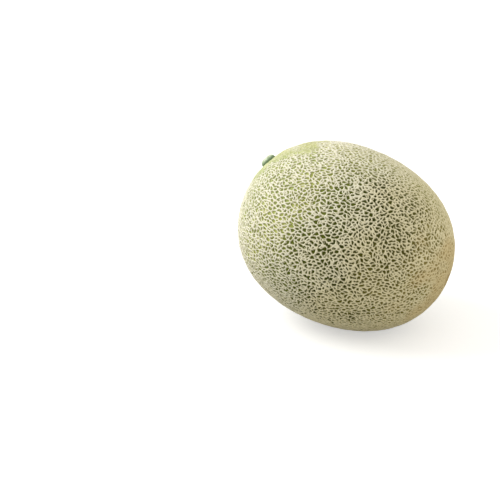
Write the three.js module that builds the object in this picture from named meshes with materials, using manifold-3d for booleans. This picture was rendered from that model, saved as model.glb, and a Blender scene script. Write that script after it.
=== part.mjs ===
// A whole netted cantaloupe melon, lying on the small flat ground spot under its belly.
// Millimetres, +Z up. The long axis lies in the XZ plane: the stem end is at -X, raised,
// and the blossom end is at +X. The origin is the middle of the box's foot.

import * as THREE from 'three';
import { mergeVertices } from 'three/addons/utils/BufferGeometryUtils.js';
import Module from 'manifold-3d';

// The fruit
const fruitLength = 162;          // from stem end to blossom end, along the long axis
const fruitGirth = 133;           // diameter across the long axis, halfway along
const endFullness = 0.044;        // how much rounder both ends are than an ellipsoid's
const shoulderFullness = 0.025;   // how much fuller the stem half is, and slimmer the other
const carpelSwell = 0.4;          // how far the three carpels swell the girth
const axisTiltDegrees = 15;       // how far the stem end is raised above level
const groundSpotDepth = 2.6;      // how much of the round belly the ground spot takes off

// The stub of the stalk
const stemOffsetDegrees = 26.5;   // from the long axis up to the stem, along the skin's grid
const stubWidth = 11.5;           // across the ridges where the stub leaves the fruit
const stubHeight = 3.2;           // from the skin to the cut end
const stubTopShare = 0.72;        // width under the cut end, as a share of stubWidth
const stubRidges = 5;
const ridgeDepth = 0.5;           // from the crest of a ridge to the stub's mean surface
const rootDepth = 1.6;            // how far the stub is rooted below the skin
const rootClearance = 0.3;        // between the stub's root and the socket that it sits in

// Fineness of the surfaces
const ringsAlongFruit = 36;
const stepsRoundFruit = 56;
const stepsRoundStub = 40;

const axisTilt = THREE.MathUtils.degToRad(axisTiltDegrees);
const stemAngle = THREE.MathUtils.degToRad(stemOffsetDegrees);

const wasm = await Module();
wasm.setup();

// A closed three.js geometry as a solid that can be cut.
function solidFrom(geometry) {
  const bare = geometry.clone();
  bare.deleteAttribute('normal');
  bare.deleteAttribute('uv');
  const merged = mergeVertices(bare, 1e-4);
  const vertProperties = new Float32Array(merged.attributes.position.array);
  const triVerts = new Uint32Array(merged.index.array);
  return new wasm.Manifold(new wasm.Mesh({ numProp: 3, vertProperties, triVerts }));
}

// A solid as a three.js geometry again.
function geometryFrom(solid) {
  const { numProp, vertProperties, triVerts } = solid.getMesh();
  if (numProp !== 3) throw new Error('a solid holds more than positions');
  const geometry = new THREE.BufferGeometry();
  geometry.setAttribute('position', new THREE.BufferAttribute(vertProperties, 3));
  geometry.setIndex(new THREE.BufferAttribute(triVerts, 1));
  geometry.computeVertexNormals();
  return geometry;
}

// The skin in the fruit's own frame, its long axis along X. along runs from 0 at the stem end
// to PI at the blossom end, and around is the angle from the top, about the long axis.
function skinPoint(along, around) {
  const shoulders = shoulderFullness * Math.cos(along);
  const ends = endFullness * Math.cos(2 * along);
  const fullness = (1 + shoulders + ends) / (1 - endFullness);
  const swell = carpelSwell * Math.cos(3 * around) * Math.sin(along) ** 2;
  const radius = (fruitGirth / 2) * Math.sin(along) * fullness + swell;
  const x = (-fruitLength / 2) * Math.cos(along);
  return new THREE.Vector3(x, radius * Math.sin(around), radius * Math.cos(around));
}

// The fruit's body: a sphere's grid, laid over the skin.
function bodyGeometry() {
  const grid = new THREE.SphereGeometry(1, stepsRoundFruit, ringsAlongFruit);
  const position = grid.attributes.position;
  for (let i = 0; i < position.count; i++) {
    const direction = new THREE.Vector3().fromBufferAttribute(position, i);
    const along = Math.acos(THREE.MathUtils.clamp(direction.y, -1, 1));
    const around = Math.atan2(direction.x, direction.z);
    const point = skinPoint(along, around);
    position.setXYZ(i, point.x, point.y, point.z);
  }
  return grid;
}

// The place of the stem on the skin, and the way it points: straight out of the skin.
function stemSeat() {
  const step = 1e-3;
  const point = skinPoint(stemAngle, 0);
  const towardsTail = skinPoint(stemAngle + step, 0).sub(point);
  const sideways = new THREE.Vector3(0, 1, 0);
  const outward = new THREE.Vector3().crossVectors(towardsTail, sideways).normalize();
  return { point, outward };
}

// A ridged, tapering stub standing along +Z with the skin at z = 0. With extra set it is the
// socket: wider and deeper than the root by that much, and open past the skin.
function stubGeometry(extra) {
  const baseRadius = stubWidth / 2 - ridgeDepth;
  const topRadius = baseRadius * stubTopShare;
  const socket = extra > 0;
  const profile = socket
    ? [
        new THREE.Vector2(0, -rootDepth - extra),
        new THREE.Vector2(baseRadius + extra, -rootDepth - extra),
        new THREE.Vector2(baseRadius + extra, stubHeight),
        new THREE.Vector2(0, stubHeight),
      ]
    : [
        new THREE.Vector2(0, -rootDepth),
        new THREE.Vector2(baseRadius, -rootDepth),
        new THREE.Vector2(baseRadius, 0.25 * stubHeight),
        new THREE.Vector2(topRadius, 0.7 * stubHeight),
        new THREE.Vector2(0.9 * topRadius, 0.95 * stubHeight),
        new THREE.Vector2(0.6 * topRadius, stubHeight),
        new THREE.Vector2(0, 0.94 * stubHeight),
      ];
  const lathe = new THREE.LatheGeometry(profile, stepsRoundStub);
  const position = lathe.attributes.position;
  for (let i = 0; i < position.count; i++) {
    const x = position.getX(i);
    const y = position.getZ(i);
    const radius = Math.hypot(x, y);
    const wave = ridgeDepth * Math.cos(stubRidges * Math.atan2(y, x)) * (radius / baseRadius);
    const scale = radius > 0 ? (radius + wave) / radius : 1;
    position.setXYZ(i, x * scale, -y * scale, position.getY(i));
  }
  return lathe;
}

// The fruit lies tilted, with its lowest point groundSpotDepth below the surface it rests on.
const seat = stemSeat();
const tilt = new THREE.Matrix4().makeRotationY(axisTilt);
const body = solidFrom(bodyGeometry().applyMatrix4(tilt));
const bounds = body.boundingBox();
const middleX = (bounds.min[0] + bounds.max[0]) / 2;
const lowest = bounds.min[2] + groundSpotDepth;
const settle = new THREE.Matrix4().makeTranslation(-middleX, 0, -lowest);

const seatFrame = new THREE.Matrix4()
  .makeTranslation(seat.point)
  .multiply(
    new THREE.Matrix4().makeRotationFromQuaternion(
      new THREE.Quaternion().setFromUnitVectors(new THREE.Vector3(0, 0, 1), seat.outward),
    ),
  );
const stubPlace = settle.clone().multiply(tilt).multiply(seatFrame);

// What lies below the resting surface, to be taken off as the ground spot.
const ground = new THREE.BoxGeometry(2 * fruitLength, 2 * fruitLength, fruitLength);
ground.translate(0, 0, -fruitLength / 2);

const socket = solidFrom(stubGeometry(rootClearance).applyMatrix4(stubPlace));
const placedBody = solidFrom(bodyGeometry().applyMatrix4(settle.clone().multiply(tilt)));
const fruitSolid = placedBody.subtract(solidFrom(ground)).subtract(socket);

const group = new THREE.Group();

const fruit = new THREE.Mesh(
  geometryFrom(fruitSolid),
  new THREE.MeshStandardMaterial({ color: 0xcfc9a0, roughness: 0.75, metalness: 0 }),
);
fruit.name = 'fruit';
group.add(fruit);

const stemStub = new THREE.Mesh(
  stubGeometry(0),
  new THREE.MeshStandardMaterial({ color: 0xb4c4a4, roughness: 0.8, metalness: 0 }),
);
stemStub.name = 'stem_stub';
stemStub.applyMatrix4(stubPlace);
group.add(stemStub);

export default group;
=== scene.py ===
# %% [markdown]
# # A netted cantaloupe melon
# This lesson builds a whole ripe cantaloupe. The fruit is one grown body with two finishes on
# it: green skin, and over the skin a raised net of cream cork. A short stub of stalk is left at
# the stem end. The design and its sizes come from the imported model, which is loaded first, and
# the fine surface is made round it here.

import bpy
import numpy as np
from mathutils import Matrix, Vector
from mathutils.kdtree import KDTree


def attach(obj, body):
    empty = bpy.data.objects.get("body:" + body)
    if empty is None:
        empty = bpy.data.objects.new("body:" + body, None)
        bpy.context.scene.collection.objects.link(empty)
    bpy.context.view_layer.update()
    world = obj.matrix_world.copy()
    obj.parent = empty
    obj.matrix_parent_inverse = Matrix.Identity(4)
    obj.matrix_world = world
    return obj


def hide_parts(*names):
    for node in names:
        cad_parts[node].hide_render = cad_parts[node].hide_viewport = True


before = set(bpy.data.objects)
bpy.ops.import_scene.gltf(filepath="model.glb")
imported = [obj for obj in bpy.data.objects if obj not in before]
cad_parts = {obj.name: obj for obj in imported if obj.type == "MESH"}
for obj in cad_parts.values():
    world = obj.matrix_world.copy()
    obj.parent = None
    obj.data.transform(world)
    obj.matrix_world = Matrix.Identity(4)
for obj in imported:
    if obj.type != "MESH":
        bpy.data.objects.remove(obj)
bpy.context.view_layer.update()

# %% [markdown]
# ## Sizes
# Lengths are in millimetres, as on a drawing of the fruit, and are turned to metres only when a
# mesh is made. The body is the same oval as in the design.

# %% Sizes and one source of chance
MM = 0.001
FRUIT_LENGTH = 162.0
FRUIT_GIRTH = 133.0
END_FULLNESS = 0.044
SHOULDER_FULLNESS = 0.025
CARPEL_SWELL = 0.4
AXIS_TILT = np.radians(15.0)
GROUND_SPOT_DEPTH = 2.6
STEM_ANGLE = np.radians(26.5)

chance = np.random.default_rng(20)

# %% [markdown]
# ## The fruit's body
# A melon is close to an ellipsoid, a little fuller at its ends and at the shoulders round its
# stalk, and its three seed chambers swell it faintly. A sphere made of rings would crowd its
# points at both ends, so the points here start on the six faces of a cube, pushed out to a
# sphere: they lie almost evenly, and no end is special.

# %% Even directions, from a cube's faces
def cube_sphere(steps):
    """Unit directions, quads of their indices, and each corner's place on its cube face."""
    grid = np.arange(steps + 1)
    row, column = np.meshgrid(grid, grid, indexing="ij")
    keys, quads, places = [], [], []
    start = 0
    for axis in range(3):
        for side in (0, steps):
            point = np.empty(row.shape + (3,), dtype=np.int64)
            point[..., axis] = side
            point[..., (axis + 1) % 3] = row
            point[..., (axis + 2) % 3] = column
            keys.append(point.reshape(-1, 3))
            index = start + np.arange(row.size).reshape(row.shape)
            ring = [index[:-1, :-1], index[1:, :-1], index[1:, 1:], index[:-1, 1:]]
            if side == 0:
                ring.reverse()
            quads.append(np.stack(ring, -1).reshape(-1, 4))
            places.append(np.stack([row, column], -1).reshape(-1, 2) / steps)
            start += row.size
    keys = np.concatenate(keys)
    quads = np.concatenate(quads)
    places = np.concatenate(places)
    code = (keys[:, 0] * (steps + 1) + keys[:, 1]) * (steps + 1) + keys[:, 2]
    _, first, shared = np.unique(code, return_index=True, return_inverse=True)
    cube = 2.0 * keys[first] / steps - 1.0
    ball = np.tan(cube * np.pi / 4)
    ball /= np.linalg.norm(ball, axis=1, keepdims=True)
    return ball, shared[quads], places[quads]


def unit(vectors):
    return vectors / np.maximum(np.linalg.norm(vectors, axis=-1, keepdims=True), 1e-12)


# %% The oval of the body
def body_point(ball):
    """The net's crest surface for unit directions, in the fruit's own frame, stem at -X."""
    flat_part = np.hypot(ball[:, 1], ball[:, 2])
    towards_top = ball[:, 2] / np.maximum(flat_part, 1e-9)
    along = np.arccos(np.clip(-ball[:, 0], -1, 1))
    shoulders = SHOULDER_FULLNESS * np.cos(along)
    ends = END_FULLNESS * np.cos(2 * along)
    fullness = (1 + shoulders + ends) / (1 - END_FULLNESS)
    three_fold = 4 * towards_top**3 - 3 * towards_top
    swell = CARPEL_SWELL * three_fold * flat_part**2
    radius = FRUIT_GIRTH / 2 * flat_part * fullness + swell
    outward = unit(ball[:, 1:])
    x = -FRUIT_LENGTH / 2 * np.cos(along)
    return np.column_stack([x, radius * outward[:, 0], radius * outward[:, 1]])


def surface_normal(surface, ball, step=1e-3):
    """The outward direction of a surface, from four close neighbours of each point."""
    helper = np.where(np.abs(ball[:, :1]) < 0.7, [[1.0, 0, 0]], [[0, 1.0, 0]])
    across = unit(np.cross(ball, helper))
    along = np.cross(ball, across)
    du = surface(unit(ball + step * across)) - surface(unit(ball - step * across))
    dv = surface(unit(ball + step * along)) - surface(unit(ball - step * along))
    return unit(np.cross(du, dv))


STEPS = 280
ball, quads, face_places = cube_sphere(STEPS)
crest = body_point(ball)
outward = surface_normal(body_point, ball)
print("fruit:", len(ball), "points,", len(quads), "quads")

# %% [markdown]
# ## Smooth chance
# Nothing that grows is even, so many sizes here drift slowly from place to place. A sum of a few
# long waves in random directions is a smooth random field that works anywhere in space and needs
# no image.

# %% A smooth random field
def drift(points, wavelength, waves=18):
    """A random field of about -1 to 1, in numbers, that changes over one wavelength."""
    direction = unit(chance.normal(size=(waves, points.shape[1])))
    stretch = chance.uniform(0.7, 1.4, size=(waves, 1))
    turn = 2 * np.pi / wavelength * direction * stretch
    phase = chance.uniform(0, 2 * np.pi, size=waves)
    return np.sin(points @ turn.T + phase).sum(axis=1) * np.sqrt(1.0 / waves)


def ramp(low, high, value):
    """0 at low, 1 at high, and a smooth curve between; low may be the larger."""
    part = np.clip((value - low) / (high - low), 0, 1)
    return part * part * (3 - 2 * part)


# %% [markdown]
# ## The two ends
# The stalk leaves the fruit a little above the middle of one end, and the scar of the flower is
# at the other. Much on the skin changes on the way from one to the other, and it can be measured
# as a share of the way: 0 at the stalk and 1 at the flower's scar.

# %% Where the ends are
END_SOFTNESS = 4.0

stem_ball = np.array([[-np.cos(STEM_ANGLE), 0.0, np.sin(STEM_ANGLE)]])
stem_place = body_point(stem_ball)[0]
stem_way = surface_normal(body_point, stem_ball)[0]
blossom_place = body_point(np.array([[1.0, 0.0, 0.0]]))[0]
from_stem = np.linalg.norm(crest - stem_place, axis=1)
from_blossom = np.linalg.norm(crest - blossom_place, axis=1)
print("stem at", stem_place.round(1), "blossom end at", blossom_place.round(1))


def share_along(points):
    """The share of the way from the stalk to the flower's scar."""
    stem_part = np.linalg.norm(points - stem_place, axis=1)
    return stem_part / (stem_part + np.linalg.norm(points - blossom_place, axis=1))


def away_from(place, points):
    """Arrows away from a place, long beside it and short far off."""
    offset = points - place
    return offset / (np.sum(offset**2, axis=1, keepdims=True) + END_SOFTNESS)


def along_the_skin(points, outward):
    """The unit direction in the skin from the stem to the blossom end."""
    way = away_from(stem_place, points) - away_from(blossom_place, points)
    way -= np.sum(way * outward, axis=1, keepdims=True) * outward
    return unit(way)


# %% [markdown]
# ## The cells of the net
# Cork grows in the cracks that open as the skin stretches, and each gap between the cracks is a
# cell. Every cell has a seed point. The seeds start on an even spiral, are pushed about, and then
# move part of the way to the middle of their own cell, which takes out the worst crowding. Each
# also has a pull of its own, so that large and small cells lie side by side.
# A ready-made cell texture could do it too, but its cells would be as long as they are wide.
# Here distance is counted short along a flow that runs from stalk to flower, leans and wanders,
# so the cells come out longer along it.

# %% Which way the cells are stretched
WANDER = 0.75
WANDER_WAVES = 18
WANDER_LENGTH = 9.0
LEAN = 0.55
LEAN_STARTS = (0.18, 0.34)
LEAN_ENDS = (0.75, 0.5)

wander_waves = unit(chance.normal(size=(WANDER_WAVES, 3))) * 2 * np.pi / WANDER_LENGTH
wander_starts = chance.uniform(0, 2 * np.pi, size=WANDER_WAVES)


def stretch_way(points, outward):
    """The way the cells are stretched: from stem to blossom, but leaning and wandering."""
    flow = along_the_skin(points, outward)
    lean = WANDER * np.sin(points @ wander_waves.T + wander_starts).sum(axis=1, keepdims=True) / 3
    share = share_along(points)[:, None]
    lean += LEAN * ramp(*LEAN_STARTS, share) * ramp(*LEAN_ENDS, share)
    return np.cos(lean) * flow + np.sin(lean) * np.cross(outward, flow)


# %% Which seeds are near a point
STRETCH = 1.3


def tree_of(seeds):
    """The seeds sorted by place, so that near ones are found quickly."""
    tree = KDTree(len(seeds))
    for number, seed in enumerate(seeds.tolist()):
        tree.insert(seed, number)
    tree.balance()
    return tree


def nearest(tree, points, count):
    """Indices of the nearest seeds of each point, nearest first."""
    found = np.empty((len(points), count), dtype=np.int32)
    for number, point in enumerate(points.tolist()):
        found[number] = [hit[1] for hit in tree.find_n(point, count)]
    return found


def squared_reach(offset, flow):
    """Squared distance, counted short along the flow and long across it."""
    lengthways = np.sum(offset * flow, axis=-1)
    whole = np.sum(offset**2, axis=-1)
    return lengthways**2 / STRETCH**2 + (whole - lengthways**2) * STRETCH**2


# %% Strew the seeds on a spiral
CELL_ACROSS = 2.58
CELL_FILL = 0.9
END_SPREAD = 0.01
BLOSSOM_CROWDING = 0.07
STREWING = 0.38
PULL = 0.22

fruit_area = np.pi * FRUIT_LENGTH * FRUIT_GIRTH
seed_count = int(fruit_area / (CELL_FILL * CELL_ACROSS**2))
step_number = np.arange(seed_count) + 0.5
along = 1 - 2 * step_number / seed_count
along += (END_SPREAD * along + BLOSSOM_CROWDING) * (1 - along**2)
around = step_number * np.pi * (3 - np.sqrt(5))
from_axis = np.sqrt(1 - along**2)
seed_ball = np.column_stack([along, from_axis * np.cos(around), from_axis * np.sin(around)])
seeds = body_point(seed_ball) + chance.normal(scale=STREWING * CELL_ACROSS, size=(seed_count, 3))
pull = PULL * CELL_ACROSS**2 * chance.uniform(-1, 1, seed_count)
print("net cells:", seed_count)

# %% Settle them
COARSE_STEPS = 110
SETTLE_NEIGHBOURS = 6
SETTLE_ROUNDS = 2
SETTLE_SHARE = 0.6

coarse_ball, _, _ = cube_sphere(COARSE_STEPS)
coarse = body_point(coarse_ball)
coarse_flow = stretch_way(coarse, surface_normal(body_point, coarse_ball))
for _ in range(SETTLE_ROUNDS):
    close = nearest(tree_of(seeds), coarse, SETTLE_NEIGHBOURS)
    reach = squared_reach(coarse[:, None] - seeds[close], coarse_flow[:, None]) - pull[close]
    owner = close[np.arange(len(coarse)), reach.argmin(axis=1)]
    held = np.bincount(owner, minlength=seed_count)
    middle = np.stack([np.bincount(owner, places, seed_count) for places in coarse.T], 1)
    middle /= np.maximum(held, 1)[:, None]
    seeds[held > 0] += SETTLE_SHARE * (middle - seeds)[held > 0]
print("points in each cell, of the coarse ones: %.1f" % held.mean())

# %% [markdown]
# ## Cords between the cells
# A cord of cork runs where two cells meet. How far a point is from the line halfway between two
# seeds says whether it is on a cord, and cords round off where they join, because the distances
# to all the lines near the point are blended. Each cord has its own width, a few fade out before
# they reach the next, and some cells have a spur that ends in the open. A cord's width comes from
# a table, by its two seeds' numbers, so both of its sides agree.

# %% How wide each cord and spur is
CORD_WIDTHS = (0.78, 1.25)
FADING_SHARE = 0.06
SPUR_SHARE = 0.2
SPUR_WIDTHS = (0.4, 0.75)
NO_SPUR = -9.0
TABLE_SIZE = 65521
TABLE_STEPS = (7919, 104729)


def pair_number(one, other, table):
    """A number from a table for two seeds, the same whichever comes first."""
    low, high = np.minimum(one, other).astype(np.int64), np.maximum(one, other)
    return table[(low * TABLE_STEPS[0] + high * TABLE_STEPS[1]) % TABLE_SIZE]


width_table = chance.uniform(*CORD_WIDTHS, TABLE_SIZE)
fade_table = (chance.random(TABLE_SIZE) < FADING_SHARE).astype(float)
spur_way = chance.normal(size=(seed_count, 3))
has_spur = chance.random(seed_count) < SPUR_SHARE
spur_width = np.where(has_spur, chance.uniform(*SPUR_WIDTHS, seed_count), NO_SPUR)
print("cells with a spur:", has_spur.sum())

# %% Distance to the lines between the cells
NEIGHBOURS = 10
NEARLY_ZERO = 1e-6


def seeds_in_order(points, flow):
    """The seeds round each point, nearest first when distance is counted along the flow."""
    close = nearest(tree_of(seeds), points, NEIGHBOURS)
    reach = squared_reach(points[:, None] - seeds[close], flow[:, None]) - pull[close]
    order = reach.argsort(axis=1)
    return np.take_along_axis(close, order, axis=1), np.take_along_axis(reach, order, axis=1)


def line_distance(close, reach, flow):
    """Each point's distance to the lines between its own cell and the cells round it."""
    apart = seeds[close[:, 1:]] - seeds[close[:, :1]]
    lengthways = np.sum(apart * flow[:, None], axis=-1)
    sideways = np.maximum(np.sum(apart**2, axis=-1) - lengthways**2, 0)
    steep = np.sqrt(lengthways**2 / STRETCH**4 + sideways * STRETCH**4)
    return (reach[:, 1:] - reach[:, :1]) / (2 * np.maximum(steep, NEARLY_ZERO))


# %% Width of the cords and spurs at a point
FADED_AWAY = 1.6
FADE_ALONG = (-0.6, 0.5)
SPUR_START = 0.15


def cord_widths(points, outward, half_width, close):
    """Each near cord's half width at a point: its own, and less where the cord fades out."""
    own, others = close[:, :1], close[:, 1:]
    side = np.cross(outward[:, None], seeds[others] - seeds[own])
    side /= np.maximum(np.linalg.norm(side, axis=-1, keepdims=True), NEARLY_ZERO)
    side *= np.where(own < others, 1.0, -1.0)[..., None]
    halfway = (seeds[others] + seeds[own]) / 2
    from_halfway = np.sum((points[:, None] - halfway) * side, axis=-1)
    faded = pair_number(own, others, fade_table) * ramp(*FADE_ALONG, from_halfway)
    return half_width[:, None] * pair_number(own, others, width_table) - FADED_AWAY * faded


def spur_distance(points, outward, half_width, cell):
    """Each point's distance outside the edge of the spur in its own cell."""
    offset = points - seeds[cell]
    spur = np.cross(outward, unit(np.cross(spur_way[cell], outward)))
    ahead = np.sum(offset * spur, axis=1)
    beside = np.linalg.norm(offset - ahead[:, None] * spur, axis=1)
    beyond = np.hypot(beside, np.minimum(ahead - SPUR_START, 0))
    return beyond - half_width * spur_width[cell]


# %% Distance to the edge of the net
CORNER_ROUNDING = 0.12


def net_distance(points, outward, flow, half_width):
    """Each point's distance outside the net's edge, below 0 on a cord, and its cell."""
    close, reach = seeds_in_order(points, flow)
    beyond = line_distance(close, reach, flow) - cord_widths(points, outward, half_width, close)
    blend = -CORNER_ROUNDING * np.log(np.sum(np.exp(-beyond / CORNER_ROUNDING), axis=1))
    cell = close[:, 0]
    return np.minimum(blend, spur_distance(points, outward, half_width, cell)), cell


# %% [markdown]
# ## Where the net is wider
# The cords are a little wider round the flower's end, and on the upper side of the fruit that
# faces the lights, where the skin between them is painted paler too, as painted light.

# %% Lay the net over the fruit
CORD_HALF_WIDTH = 0.48
WIDTH_DRIFT = 0.07
BLOSSOM_WIDENING = 0.16
LIT_SIDE_WIDENING = 0.1
LIT_SIDE_WAY = unit(np.array([-0.1, 0.67, 0.73]))

half_width = CORD_HALF_WIDTH * (1 + WIDTH_DRIFT * drift(crest, 30.0))
half_width *= 1 + BLOSSOM_WIDENING * ramp(55.0, 25.0, from_blossom)
# Painted light: the upper side facing the lights gets paler skin; its cords are wider too.
lit_upper_side = ramp(0.25, 0.8, outward @ LIT_SIDE_WAY + 0.06 * drift(crest, 40.0))
half_width *= 1 + LIT_SIDE_WIDENING * lit_upper_side
edge, cell = net_distance(crest, outward, stretch_way(crest, outward), half_width)
print("share of the skin under the net: %.2f" % (edge < 0).mean())

# %% [markdown]
# ## The raised surface
# Cork stands up from the skin as a rounded ridge with steep sides. Here the mesh itself is moved,
# so the net has real walls that catch the light and hide the gaps where the fruit curves away.
# The crests lie on the design's surface and the skin lies below them. Close to the stalk there is
# almost no net, only faint streaks that run out from it.

# %% Where the net fades out near the stalk
STEM_CLEAR = 9.0
STEM_FADE = 30.0
BARE_REACH = 20.0
UNEVEN = 5.0
THINNING = 0.45
STREAK_ACROSS = 1.6

upper_side = ramp(40.0, 62.0, crest[:, 2])
from_bare = from_stem - BARE_REACH * upper_side + UNEVEN * drift(crest, 18.0)
netted = ramp(STEM_CLEAR, STEM_FADE, from_bare)
netted = np.maximum(netted, 0.5 * ramp(STEM_CLEAR, STEM_FADE, from_stem + 8.0))
around_stem = np.column_stack([unit(crest - stem_place) * 9.0, from_stem / 9.0])
streaks = drift(around_stem, STREAK_ACROSS)
edge += THINNING * (1 - netted)
print("share of the skin that is almost bare: %.3f" % (netted < 0.5).mean())

# %% Relief of the net
NET_RELIEF = 1.1
FOOT_WIDTH = 0.2
CORD_ROUNDNESS = 2.2
SHALLOW_SHARE = 0.15
SHALLOW_RELIEF = (0.15, 0.55)
BARE_RELIEF = 0.2
BLOSSOM_LOWERING = 0.35
SKIN_WAVES = 0.1
STREAK_DEPTH = 0.12
STUB_SEAT = 0.7

inward = np.clip((FOOT_WIDTH - edge) / (FOOT_WIDTH + half_width), 0, 1)
cord = 1 - (1 - inward) ** CORD_ROUNDNESS
is_shallow = (chance.random(seed_count) < SHALLOW_SHARE) * (pull < 0)
shallow = is_shallow * chance.uniform(*SHALLOW_RELIEF, seed_count)
relief = np.maximum(cord, shallow[cell] * (1 - 0.15 * cord))
full_depth = NET_RELIEF * (BARE_RELIEF + (1 - BARE_RELIEF) * netted)
full_depth *= 1 - BLOSSOM_LOWERING * ramp(50.0, 20.0, from_blossom)
depth = full_depth * (1 - relief)
depth += SKIN_WAVES * drift(crest, 9.0)
depth += STREAK_DEPTH * (1 - netted) * streaks
depth += STUB_SEAT * ramp(9.0, 5.0, from_stem)
print("depth below the crests, mm: %.2f to %.2f" % (depth.min(), depth.max()))

# %% [markdown]
# ## The scar of the flower
# The flower sat at the far end of the fruit and left a small round scar of cork, with two faint
# rings, cracks that run out from its middle, and a groove round it. It could be a piece of its
# own, but it grew on the skin, so it is one more relief on the same mesh.

# %% Relief of the scar
SCAR_ACROSS = 9.0
SCAR_RINGS = 2
SCAR_LEVEL = 0.3
RING_HEIGHT = 0.1
CRACK_DEPTH = 0.14
GROOVE_DEPTH = 0.4
GROOVE_WIDTH = 0.12

scar_reach = 2 * from_blossom / SCAR_ACROSS + 0.08 * drift(crest, 4.0)
scar = ramp(1.2, 1.0, scar_reach)
around_scar = np.column_stack([unit(crest - blossom_place)[:, 1:] * 8.0, scar_reach])
cracks = drift(around_scar, 1.8) * ramp(0.15, 0.5, scar_reach)
scar_rings = np.cos(2 * np.pi * SCAR_RINGS * scar_reach)
groove = np.exp(-((scar_reach - 1.02) / GROOVE_WIDTH) ** 2)
scar_depth = SCAR_LEVEL - RING_HEIGHT * scar_rings + CRACK_DEPTH * cracks + GROOVE_DEPTH * groove
depth = depth * (1 - scar) + scar_depth * scar
print("points on the scar:", (scar > 0.5).sum())

# %% [markdown]
# ## Lying down
# The fruit lies on its belly with the stem end a little raised. Where it lay on the ground it
# grew flat, so its underside is pressed up smoothly to the resting surface.

# %% Tilt and flatten
SPOT_EDGE = 0.9
SPOT_FADE = (5.0, 0.3)
SPOT_SHALLOWER = 0.55
DEPTHS = (-0.2, 1.9)

turn = np.array([
    [np.cos(AXIS_TILT), 0, np.sin(AXIS_TILT)],
    [0, 1, 0],
    [-np.sin(AXIS_TILT), 0, np.cos(AXIS_TILT)],
])
turned_crest = crest @ turn.T
lowest = turned_crest[:, 2].min()
middle_x = (turned_crest[:, 0].min() + turned_crest[:, 0].max()) / 2
height = turned_crest[:, 2] - lowest - GROUND_SPOT_DEPTH
pressed = (height + np.sqrt(height**2 + SPOT_EDGE**2)) / 2
lying = np.column_stack([turned_crest[:, 0] - middle_x, turned_crest[:, 1], pressed])
ground_spot = ramp(*SPOT_FADE, lying[:, 2] + drift(crest, 12.0))
depth *= 1 - SPOT_SHALLOWER * ground_spot
fruit_points = lying - (outward @ turn.T) * np.clip(depth, *DEPTHS)[:, None]
fruit_points[:, 2] -= min(fruit_points[:, 2].min(), 0.2)
print("fruit box, mm:", fruit_points.min(axis=0).round(2), fruit_points.max(axis=0).round(2))

# %% [markdown]
# ## Marks for the finishes
# Each point of the mesh carries a few numbers that say what is there: cork or skin, how high on
# its cord, how far along the fruit. The finish reads them, so its colours follow the relief
# exactly. An image would need its own map of the skin and far more memory.

# %% A mesh from points, faces and marks
def mesh_piece(name, points, faces, marks):
    """A smooth mesh object from points in millimetres, with one number per point for each mark."""
    mesh = bpy.data.meshes.new(name)
    mesh.vertices.add(len(points))
    mesh.vertices.foreach_set("co", (points * MM).astype(np.float32).ravel())
    mesh.loops.add(faces.size)
    mesh.loops.foreach_set("vertex_index", faces.astype(np.int32).ravel())
    mesh.polygons.add(len(faces))
    starts = np.arange(0, faces.size, faces.shape[1], dtype=np.int32)
    mesh.polygons.foreach_set("loop_start", starts)
    mesh.polygons.foreach_set("use_smooth", np.ones(len(faces), dtype=bool))
    mesh.update(calc_edges=True)
    mesh.validate()
    for mark, values in marks.items():
        layer = mesh.attributes.new(mark, "FLOAT", "POINT")
        layer.data.foreach_set("value", np.asarray(values, dtype=np.float32))
    piece = bpy.data.objects.new(name, mesh)
    bpy.context.scene.collection.objects.link(piece)
    return piece


# %% Mark the points and make the fruit
BARE_CORK = 0.35
SHALLOW_CORK = 0.6

cork = np.maximum(ramp(0.14, -0.16, edge), SHALLOW_CORK * ramp(0.1, 0.6, shallow[cell]))
cork *= BARE_CORK + (1 - BARE_CORK) * netted
scar_tone = 0.45 + 0.25 * scar_rings - 0.3 * cracks - 0.6 * groove
marks = {
    "cork": np.maximum(cork, scar),
    "crown": np.clip(-edge / half_width, 0, 1),
    "cell_tone": chance.random(seed_count)[cell],
    "share_of_way": share_along(crest) + 0.03 * drift(crest, 45.0),
    "open_skin": ramp(0.1, 0.75, edge),
    "streaks": 0.5 + 0.35 * streaks,
    "bare": 1 - netted,
    "lit_upper_side": lit_upper_side,
    "ground_spot": ground_spot,
    "tan_patch": ramp(50.0, 16.0, from_blossom + 9.0 * drift(crest, 24.0)),
    "scar": scar,
    "scar_tone": np.clip(scar_tone, 0, 1),
}
fruit = mesh_piece("melon_fruit", fruit_points, quads, marks)
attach(fruit, "root")
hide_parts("fruit")
print("fruit made:", len(fruit.data.polygons), "faces with", len(marks), "marks")

# %% [markdown]
# ## A map of the skin
# A flat map of the skin lets its colours be baked to an image. The six faces of the cube that the
# points came from make one: three patches in a row, in two rows, each with a thin margin.

# %% Lay the six faces out flat
PATCH_MARGIN = 0.004
PATCH_ROWS = 2
PATCH_COLUMNS = 3

patch = np.repeat(np.arange(PATCH_ROWS * PATCH_COLUMNS), STEPS * STEPS)
patch_place = np.stack([patch % PATCH_COLUMNS, patch // PATCH_COLUMNS], 1)
corner = PATCH_MARGIN + (1 - 2 * PATCH_MARGIN) * face_places + patch_place[:, None]
bake_map = fruit.data.uv_layers.new(name="OFBake")
flat_places = corner / [PATCH_COLUMNS, PATCH_ROWS]
bake_map.data.foreach_set("uv", flat_places.astype(np.float32).ravel())
print("map corners:", flat_places.min().round(3), "to", flat_places.max().round(3))

# %% [markdown]
# ## The stub of stalk
# A ripe melon slips off its vine or is snipped close, and a low five-ribbed stub is left on it,
# dried grey-green. Its end is domed, with a shallow hollow in the middle and a ring of small
# knobs where the vessels were cut. It is one skin of points: rings climb its side, turn over a
# rounded rim and run in to the middle of the cut end. It could be a lathed shape, but its ribs
# fade towards the top, so the radius of each ring changes with the angle.

# %% Shape of the stub
STUB_WIDTH = 11.5
STUB_RINGS = 90
SMOOTHED_RINGS = 5
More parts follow.
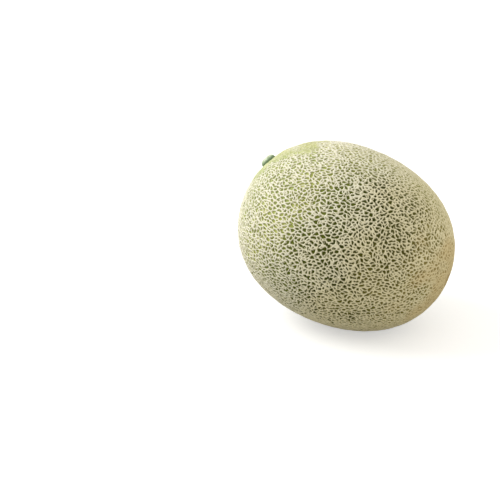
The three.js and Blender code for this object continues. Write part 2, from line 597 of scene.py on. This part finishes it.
# Reach from the stub's axis, as a share of its half width, and height above the skin in mm.
STUB_PROFILE = [
    (1.04, -1.6), (1.0, -0.6), (0.98, 0.2), (0.95, 0.9), (0.9, 1.65), (0.82, 2.3), (0.71, 2.85),
    (0.58, 3.15), (0.44, 3.16), (0.3, 3.0), (0.12, 2.88), (0.0, 2.86),
]

profile = np.array(STUB_PROFILE) * [STUB_WIDTH / 2, 1.0]
climbed = np.concatenate([[0], np.cumsum(np.linalg.norm(np.diff(profile, axis=0), axis=1))])
climb = np.linspace(0, climbed[-1], STUB_RINGS)


def smoothed(side):
    """One column of the profile at even steps along it, with its corners rounded off."""
    even = np.pad(np.interp(climb, climbed, side), SMOOTHED_RINGS, mode="edge")
    weights = np.hanning(2 * SMOOTHED_RINGS + 3)[1:-1]
    return np.convolve(even, weights / weights.sum(), "valid")[:, None]


reach, rise = [smoothed(side) for side in profile.T]
reach[-1] = 0.0
share_out = reach / reach.max()
on_side = ramp(3.1, 2.0, rise) * ramp(0.55, 0.8, share_out)
on_cut = ramp(0.8, 0.66, share_out)
print("stub profile:", STUB_RINGS, "rings, %.1f mm along it" % climbed[-1])

# %% Ribs, fibres and vessels
STUB_TURNS = 240
RIBS = 5
RIB_DEPTH = 0.05
RIB_RISE = 0.15
FIBRE_DEPTH = 0.018
FIBRE_DRUM = 7.0
FIBRE_RUN = 0.35
FIBRE_ACROSS = 1.5
OUT_OF_ROUND = 0.02
VESSELS = 10
VESSEL_HEIGHT = 0.12

angle = np.linspace(0, 2 * np.pi, STUB_TURNS, endpoint=False)[None, :]
rib = np.cos(RIBS * angle + 0.4 * np.sin(angle + 1.0) + 0.9)
# The drift is read on a wide, low drum, so it is narrow round the stub and long up it.
across = FIBRE_DRUM * np.cos(angle), FIBRE_DRUM * np.sin(angle)
drum = np.stack(np.broadcast_arrays(*across, FIBRE_RUN * climb[:, None]), -1)
fibre = drift(drum.reshape(-1, 3), FIBRE_ACROSS).reshape(STUB_RINGS, STUB_TURNS)
vessel = np.cos(VESSELS * angle) * np.exp(-((share_out - 0.45) / 0.12) ** 2)
swelling = on_side * (RIB_DEPTH * rib + FIBRE_DEPTH * fibre) + OUT_OF_ROUND * np.sin(2 * angle + 0.6)
stub_reach = reach * (1 + swelling)
stub_rise = rise + VESSEL_HEIGHT * vessel
stub_rise = stub_rise + 0.07 * on_cut * share_out * fibre + RIB_RISE * on_side * rib
print("stub: %.1f mm wide, %.1f mm above the skin" % (2 * stub_reach.max(), stub_rise.max()))

# %% Stand the stub on the skin
stem_sideways = np.array([0.0, 1.0, 0.0])
stem_forward = np.cross(stem_sideways, stem_way)
ring_points = (
    stem_place
    + (stub_reach * np.cos(angle))[..., None] * stem_forward
    + (stub_reach * np.sin(angle))[..., None] * stem_sideways
    + stub_rise[..., None] * stem_way
)
stub_points = ring_points.reshape(-1, 3) @ turn.T - [middle_x, 0, lowest + GROUND_SPOT_DEPTH]
ring_start = np.arange(STUB_RINGS - 1)[:, None] * STUB_TURNS
here = ring_start + np.arange(STUB_TURNS)
beside = ring_start + (np.arange(STUB_TURNS) + 1) % STUB_TURNS
stub_faces = np.stack([here, beside, beside + STUB_TURNS, here + STUB_TURNS], -1).reshape(-1, 4)
stub_marks = {
    "rib": (0.5 + 0.5 * rib * on_side).ravel(),
    "cut_end": np.repeat(on_cut, STUB_TURNS),
    "rise": np.repeat(rise, STUB_TURNS),
    "fibre": (0.5 + 0.4 * fibre).ravel(),
    "vessel": np.abs(vessel).ravel(),
}
stub = mesh_piece("stalk_stub", stub_points, stub_faces, stub_marks)
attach(stub, "root")
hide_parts("stem_stub")

# %% [markdown]
# ## Finishes
# Colours are written as they look on a screen and turned to the linear values that light works
# with by one function. One more function adds a node with its settings and links. Patterns that
# are too fine for the mesh are noise, and its scale comes from how far across a patch of it is.

# %% Helpers for finishes
def linear(hex_colour):
    """The linear colour, with full cover, of a colour as it looks on a screen."""
    channels = [int(hex_colour[i:i + 2], 16) / 255 for i in (1, 3, 5)]
    return [c / 12.92 if c <= 0.04045 else ((c + 0.055) / 1.055) ** 2.4 for c in channels] + [1.0]


def patches(millimetres):
    """The scale of a noise whose light and dark patches are this far across."""
    return 0.5 / (millimetres * MM)


def node(tree, kind, out=0, settings=None, **inputs):
    """Adds a node and gives its output. Inputs are values or links; i6 is input number 6."""
    made = tree.nodes.new("ShaderNode" + kind)
    for name, value in (settings or {}).items():
        setattr(made, name, value)
    for name, value in inputs.items():
        key = int(name[1:]) if name[0] == "i" and name[1:].isdigit() else name.replace("_", " ")
        if isinstance(value, bpy.types.NodeSocket):
            tree.links.new(value, made.inputs[key])
        else:
            made.inputs[key].default_value = value
    return made.outputs[out] if len(made.outputs) else made


def blank_material(name):
    """A material with an empty tree of nodes, and that tree."""
    material = bpy.data.materials.new(name)
    material.use_nodes = True
    material.node_tree.nodes.clear()
    return material, material.node_tree


# Settings of a colour mix: 0 is its share, 6 and 7 are its colours and 2 is its result.
BLEND = {"data_type": "RGBA"}
SHADE = {"data_type": "RGBA", "blend_type": "MULTIPLY"}

# %% [markdown]
# ## Rind: cork net over green skin
# The skin under the net is waxy. It is pale yellow-green by the stalk and darkens to olive along
# the fruit, and it is tan where the flower was and pale yellow where the fruit lay on the ground.
# The darkest olive, near the middle of the way, is partly painted shade.
# The cork is dry and matt, cream, whiter towards the stalk. A colour ramp carries each of the two
# along the way from stalk to flower, and the marks on the mesh say which of them is at a point.

# %% Rind: colours along the fruit
rind, tree = blank_material("netted_rind")
named = {name: node(tree, "Attribute", "Fac", {"attribute_name": name}) for name in marks}
place = node(tree, "TexCoord", "Object")

# Painted shade, in part: the darkest olive, near the middle of the way, also stands for shade.
SKIN_COLOURS_AND_PAINTED_SHADE = {
    0.12: "#DCE3AE",
    0.23: "#D9E1AA",
    0.34: "#D4DA88",
    0.42: "#8C973C",
    0.48: "#6C7518",
    0.55: "#4E5408",
    0.68: "#857D33",
    0.8: "#BCA96C",
}
CORK_SHADES = {0.15: "#E8E8DA", 0.3: "#EFEDE0", 0.45: "#E8E6D4", 0.6: "#E8E1C2", 0.85: "#F0E6C0"}

along_the_way = {}
for layer, shades in {"skin": SKIN_COLOURS_AND_PAINTED_SHADE, "cork": CORK_SHADES}.items():
    along_the_way[layer] = node(tree, "ValToRGB", Fac=named["share_of_way"])
    stops = along_the_way[layer].node.color_ramp.elements
    stops.remove(stops[1])
    for number, (share, shade) in enumerate(shades.items()):
        stop = stops[0] if number == 0 else stops.new(share)
        stop.position = share
        stop.color = linear(shade)
    print(layer, "colours:", len(stops), "stops along the fruit")

# %% [markdown]
# ## Rind: the skin in the gaps
# Each gap has its own tone. Close to its cords the skin is darker and yellower, which is painted
# shade in the groove at their base. Pale mottling a few millimetres across runs over all of them.
# Near the stalk the skin is bare, with light streaks. On the upper side that faces the lights the
# skin is painted paler and yellower, as painted light.

# %% Rind: the green skin
MOTTLE_ACROSS = 7.0
MOTTLE_TINT = "#DDE4D8"
GAP_TINT = "#D2D4BE"
CREVICE_SHADE_TINT = "#C6C894"
BARE_GREEN = "#AFBD7A"
BARE_PALE = "#DADCB2"
PAINTED_LIGHT_YELLOW = "#C6C57E"
GROUND_YELLOW = "#E0CF86"
FLOWER_TAN = "#AE9864"

mottle = node(tree, "TexNoise", Vector=place, Scale=patches(MOTTLE_ACROSS), Detail=3.0)
mottle = node(tree, "MapRange", Value=mottle, From_Min=0.35, From_Max=0.65)
# Painted shade: the skin is darker and yellower close to each cord, in the groove at its base.
painted_crevice_shade = node(tree, "MapRange", Value=named["open_skin"], To_Min=0.8, To_Max=0.0)
skin = node(tree, "Mix", 2, SHADE, i0=mottle, i6=along_the_way["skin"], i7=linear(MOTTLE_TINT))
skin = node(tree, "Mix", 2, SHADE, i0=named["cell_tone"], i6=skin, i7=linear(GAP_TINT))
skin = node(tree, "Mix", 2, SHADE, i0=painted_crevice_shade, i6=skin, i7=linear(CREVICE_SHADE_TINT))
bare = node(tree, "Mix", 2, BLEND, i0=named["streaks"], i6=linear(BARE_GREEN), i7=linear(BARE_PALE))
skin = node(tree, "Mix", 2, BLEND, i0=named["bare"], i6=skin, i7=bare)
# Painted light: the skin is painted paler and yellower on the upper side facing the lights.
painted_side_light = node(tree, "MapRange", Value=named["lit_upper_side"], To_Max=0.58)
skin = node(tree, "Mix", 2, BLEND, i0=painted_side_light, i6=skin, i7=linear(PAINTED_LIGHT_YELLOW))
skin = node(tree, "Mix", 2, BLEND, i0=named["ground_spot"], i6=skin, i7=linear(GROUND_YELLOW))
skin = node(tree, "Mix", 2, BLEND, i0=named["tan_patch"], i6=skin, i7=linear(FLOWER_TAN))
print("skin:", len(tree.nodes), "nodes")

# %% [markdown]
# ## Rind: the cork
# Cork is uneven in tone, as if dusted, and darker at the foot of each cord, where it is thin. It
# is tanner round the flower's end, and the scar goes from brown in its groove to buff.

# %% Rind: the cork net
DUST_ACROSS = 0.8
DUST_TAN = "#CFC490"
THIN_CORK = "#C4BE7C"
FLOWER_CREAM = "#DCCB9C"
SCAR_BROWN = "#8E7242"
SCAR_BUFF = "#E0CC98"

dust = node(tree, "TexNoise", Vector=place, Scale=patches(DUST_ACROSS), Detail=3.0)
dust = node(tree, "MapRange", Value=dust, From_Min=0.35, From_Max=0.7, To_Min=0.0, To_Max=0.4)
thin = node(tree, "MapRange", Value=named["crown"], From_Max=0.5, To_Min=0.5, To_Max=0.0)
cork = node(tree, "Mix", 2, BLEND, i0=dust, i6=along_the_way["cork"], i7=linear(DUST_TAN))
cork = node(tree, "Mix", 2, BLEND, i0=thin, i6=cork, i7=linear(THIN_CORK))
cork = node(tree, "Mix", 2, BLEND, i0=named["tan_patch"], i6=cork, i7=linear(FLOWER_CREAM))
buff = node(tree, "Mix", 2, BLEND, i0=named["scar_tone"], i6=linear(SCAR_BROWN), i7=linear(SCAR_BUFF))
cork = node(tree, "Mix", 2, BLEND, i0=named["scar"], i6=cork, i7=buff)
colour = node(tree, "Mix", 2, BLEND, i0=named["cork"], i6=skin, i7=cork)
print("cork and skin:", len(tree.nodes), "nodes")

# %% [markdown]
# ## Rind: gloss and grain
# Plant skin has an index of refraction near 1.4. A thin bloom on it scatters most of its gloss,
# so its reflection is weak, and the cork has none to speak of. The cork's pores are finer than
# they are drawn here, because at their real size they would not show.

# %% Rind: the shader
PORES_ACROSS = 0.35
PORE_DEPTH = 0.12

rough = node(tree, "MapRange", Value=named["cork"], To_Min=0.5, To_Max=0.85)
pores = node(tree, "TexNoise", Vector=place, Scale=patches(PORES_ACROSS), Detail=3.0)
bumps = node(tree, "Bump", Height=pores, Strength=0.35, Distance=PORE_DEPTH * MM)
shader = node(
    tree, "BsdfPrincipled", Base_Color=colour, Roughness=rough, Normal=bumps, IOR=1.4,
    Specular_IOR_Level=0.12,
)
node(tree, "OutputMaterial", Surface=shader)
fruit.data.materials.append(rind)
print("rind:", len(tree.nodes), "nodes")

# %% [markdown]
# ## Stalk: dried green stem
# The stub has dried on the fruit: its skin is pale grey-green on the ribs and a deeper green in
# the furrows, and fine fibres run up it. Low down, in the crease where it meets the fruit, it is
# painted a darker green, as painted shade. The cut end has dried to a paler callus with a faint
# darker ring of vessels. It is matt all over.

# %% Stalk: the dried skin
stalk, tree = blank_material("dried_stalk")
named = {name: node(tree, "Attribute", "Fac", {"attribute_name": name}) for name in stub_marks}
place = node(tree, "TexCoord", "Object")

FURROW_GREEN = "#B2C6A6"
RIB_GREEN = "#DFEBD6"
FOOT_SHADE_GREEN = "#56704C"
FIBRE_GREEN = "#7F9672"

# Painted shade: the stub is darker green low down, in the crease where it meets the fruit.
painted_foot_shade = node(tree, "MapRange", Value=named["rise"], From_Min=0.3, From_Max=2.0, To_Min=0.95, To_Max=0.0)
fibres = node(
    tree, "MapRange", Value=named["fibre"], From_Min=0.3, From_Max=0.8, To_Min=0.45, To_Max=0.0,
)
side = node(tree, "Mix", 2, BLEND, i0=named["rib"], i6=linear(FURROW_GREEN), i7=linear(RIB_GREEN))
side = node(tree, "Mix", 2, BLEND, i0=painted_foot_shade, i6=side, i7=linear(FOOT_SHADE_GREEN))
side = node(tree, "Mix", 2, BLEND, i0=fibres, i6=side, i7=linear(FIBRE_GREEN))

# %% Stalk: the cut end and the shader
CALLUS_ACROSS = 0.6
CALLUS_GREY = "#B5B795"
CALLUS_PALE = "#E1E2CB"
VESSEL_GREEN = "#8C9468"
CALLUS_DEPTH = 0.15

callus = node(tree, "TexNoise", Vector=place, Scale=patches(CALLUS_ACROSS), Detail=3.0)
vessels = node(tree, "MapRange", Value=named["vessel"], To_Max=0.6)
cut_end = node(tree, "Mix", 2, BLEND, i0=callus, i6=linear(CALLUS_GREY), i7=linear(CALLUS_PALE))
cut_end = node(tree, "Mix", 2, BLEND, i0=vessels, i6=cut_end, i7=linear(VESSEL_GREEN))
colour = node(tree, "Mix", 2, BLEND, i0=named["cut_end"], i6=side, i7=cut_end)
bumps = node(tree, "Bump", Height=callus, Strength=0.5, Distance=CALLUS_DEPTH * MM)
shader = node(tree, "BsdfPrincipled", Base_Color=colour, Roughness=0.75, Normal=bumps, IOR=1.45)
node(tree, "OutputMaterial", Surface=shader)
stub.data.materials.append(stalk)
print("stalk:", len(tree.nodes), "nodes")

# %% [markdown]
# ## The studio
# The fruit stands on a wide sheet of plain pale paper in an evenly lit room. The camera sees the
# paper and the room nearly white, and what they throw back on the fruit is a little darker and
# warmer, as a real sheet and real walls are.

# %% The paper
FLOOR_REACH = 30.0
FLOOR_LIFT = 0.5
PAPER_SEEN = "#DCDCDC"
PAPER_LIT = "#BCBAB4"

floor_mesh = bpy.data.meshes.new("floor")
signs = ((-1, -1), (1, -1), (1, 1), (-1, 1))
floor_corners = [(FLOOR_REACH * x, FLOOR_REACH * y, 0) for x, y in signs]
floor_mesh.from_pydata(floor_corners, [], [(0, 1, 2, 3)])
floor_piece = bpy.data.objects.new("studio_floor", floor_mesh)
bpy.context.scene.collection.objects.link(floor_piece)
paper, tree = blank_material("white_paper")
seen = node(tree, "LightPath", "Is Camera Ray")
sheet = node(tree, "Mix", 2, BLEND, i0=seen, i6=linear(PAPER_LIT), i7=linear(PAPER_SEEN))
lift = node(tree, "MapRange", Value=seen, To_Max=FLOOR_LIFT)
shader = node(
    tree, "BsdfPrincipled", Base_Color=sheet, Roughness=0.9, Specular_IOR_Level=0.1,
    Emission_Color=(1, 1, 1, 1), Emission_Strength=lift,
)
node(tree, "OutputMaterial", Surface=shader)
floor_mesh.materials.append(paper)

# %% The room
ROOM_LIGHT = 0.78
WARM_GREY = (ROOM_LIGHT, ROOM_LIGHT * 0.97, ROOM_LIGHT * 0.9, 1)
WHITE = (1, 1, 1, 1)

room = bpy.data.worlds.new("studio")
room.use_nodes = True
tree = room.node_tree
tree.nodes.clear()
seen = node(tree, "LightPath", "Is Camera Ray")
walls = node(tree, "Mix", 2, BLEND, i0=seen, i6=WARM_GREY, i7=WHITE)
glow = node(tree, "Background", Color=walls)
node(tree, "OutputWorld", Surface=glow)
bpy.context.scene.world = room

# %% [markdown]
# ## Camera and lights
# A long lens from a little above shows the fruit from its side, the stalk at the upper left. A
# large soft light up on the left gives the form, and a much weaker one on the right opens the
# shadows.

# %% Camera
MIDDLE = Vector((0.0, 0.0, 0.066))
VIEW_AZIMUTH = np.radians(24.0)
VIEW_HEIGHT = np.radians(22.0)
LENS = 85.0
SENSOR = 36.0
FRAME_WIDTH = 0.3676
OFF_CENTRE = (0.1908, 0.0302)

right = Vector((np.cos(VIEW_AZIMUTH), np.sin(VIEW_AZIMUTH), 0.0))
back = Vector((
    np.sin(VIEW_AZIMUTH) * np.cos(VIEW_HEIGHT),
    -np.cos(VIEW_AZIMUTH) * np.cos(VIEW_HEIGHT),
    np.sin(VIEW_HEIGHT),
))
up = back.cross(right)
camera = bpy.data.objects.new("camera", bpy.data.cameras.new("camera"))
bpy.context.scene.collection.objects.link(camera)
camera.data.lens = LENS
camera.data.sensor_width = SENSOR
distance = FRAME_WIDTH * LENS / SENSOR
aim = MIDDLE - FRAME_WIDTH * (OFF_CENTRE[0] * right + OFF_CENTRE[1] * up)
camera.location = aim + distance * back
camera.rotation_mode = "QUATERNION"
camera.rotation_quaternion = back.to_track_quat("Z", "Y")
bpy.context.scene.camera = camera
print("camera, m:", camera.location)

# %% Lights
def soft_light(name, width, watts, to_right, to_up, to_back):
    """A round soft light, placed from the fruit's middle as the camera sees it, aimed at it."""
    light = bpy.data.lights.new(name, "AREA")
    light.shape = "DISK"
    light.size = width
    light.energy = watts
    lamp = bpy.data.objects.new(name, light)
    lamp.location = MIDDLE + to_right * right + to_up * up + to_back * back
    lamp.rotation_mode = "QUATERNION"
    lamp.rotation_quaternion = (MIDDLE - lamp.location).to_track_quat("-Z", "Y")
    bpy.context.scene.collection.objects.link(lamp)


soft_light("key", width=0.8, watts=8.6, to_right=-0.86, to_up=0.67, to_back=0.1)
soft_light("fill", width=0.9, watts=1.3, to_right=1.0, to_up=0.35, to_back=0.1)
bpy.context.scene.view_settings.view_transform = "Standard"
